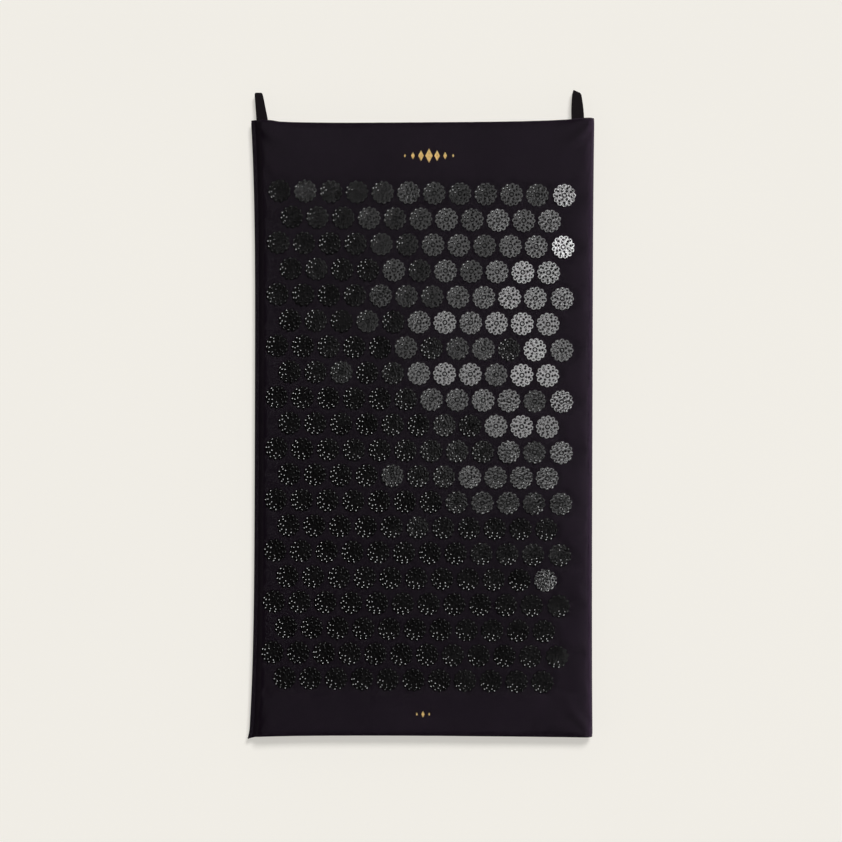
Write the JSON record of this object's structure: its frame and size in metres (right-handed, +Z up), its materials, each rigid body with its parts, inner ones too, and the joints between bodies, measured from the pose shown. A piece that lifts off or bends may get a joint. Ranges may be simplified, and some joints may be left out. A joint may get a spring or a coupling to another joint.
{
  "type": "acupressure mat",
  "caption": "Flat padded mat in a black cotton cover, set with staggered rows of round plastic spike discs, with two hanging loops at its head.",
  "frame": {"origin": "on the floor, below the middle of the mat's whole box, hanging loops included", "axes": "+Z up out of the spiked side, +Y along the mat towards the end with the hanging loops, +X across it"},
  "size_m": [0.4156, 0.7754, 0.0252],
  "materials": {
    "foam": "open-cell foam",
    "cotton_front": "dyed cotton sateen",
    "cotton_back": "dyed plain-weave cotton",
    "tape": "twill tape",
    "disc_plastic": "moulded, semi-gloss"
  },
  "bodies": {
    "mat": {"foam_insert": "foam", "front_panel": "cotton_front", "back_panel": "cotton_back", "spike_disc_r01_c01": "disc_plastic", "spike_disc_r01_c02": "disc_plastic", "spike_disc_r01_c03": "disc_plastic", "spike_disc_r01_c04": "disc_plastic", "spike_disc_r01_c05": "disc_plastic", "spike_disc_r01_c06": "disc_plastic", "spike_disc_r01_c07": "disc_plastic", "spike_disc_r01_c08": "disc_plastic", "spike_disc_r01_c09": "disc_plastic", "spike_disc_r01_c10": "disc_plastic", "spike_disc_r01_c11": "disc_plastic", "spike_disc_r01_c12": "disc_plastic", "spike_disc_r02_c01": "disc_plastic", "spike_disc_r02_c02": "disc_plastic", "spike_disc_r02_c03": "disc_plastic", "spike_disc_r02_c04": "disc_plastic", "spike_disc_r02_c05": "disc_plastic", "spike_disc_r02_c06": "disc_plastic", "spike_disc_r02_c07": "disc_plastic", "spike_disc_r02_c08": "disc_plastic", "spike_disc_r02_c09": "disc_plastic", "spike_disc_r02_c10": "disc_plastic", "spike_disc_r02_c11": "disc_plastic", "spike_disc_r03_c01": "disc_plastic", "spike_disc_r03_c02": "disc_plastic", "spike_disc_r03_c03": "disc_plastic", "spike_disc_r03_c04": "disc_plastic", "spike_disc_r03_c05": "disc_plastic", "spike_disc_r03_c06": "disc_plastic", "spike_disc_r03_c07": "disc_plastic", "spike_disc_r03_c08": "disc_plastic", "spike_disc_r03_c09": "disc_plastic", "spike_disc_r03_c10": "disc_plastic", "spike_disc_r03_c11": "disc_plastic", "spike_disc_r03_c12": "disc_plastic", "spike_disc_r04_c01": "disc_plastic", "spike_disc_r04_c02": "disc_plastic", "spike_disc_r04_c03": "disc_plastic", "spike_disc_r04_c04": "disc_plastic", "spike_disc_r04_c05": "disc_plastic", "spike_disc_r04_c06": "disc_plastic", "spike_disc_r04_c07": "disc_plastic", "spike_disc_r04_c08": "disc_plastic", "spike_disc_r04_c09": "disc_plastic", "spike_disc_r04_c10": "disc_plastic", "spike_disc_r04_c11": "disc_plastic"},
    "loop_left": {"hanging_loop_left": "tape"},
    "loop_right": {"hanging_loop_right": "tape"}
  },
  "joints": [
    {"name": "loop_left_lift", "type": "hinge", "parent": "mat", "child": "loop_left", "pos_m": [-0.19084, 0.35465, 0.0093], "axis": [1, 0, 0], "range_deg": [0, 99]},
    {"name": "loop_right_lift", "type": "hinge", "parent": "mat", "child": "loop_right", "pos_m": [0.18784, 0.35706, 0.0093], "axis": [1, 0, 0], "range_deg": [0, 99]}
  ]
}
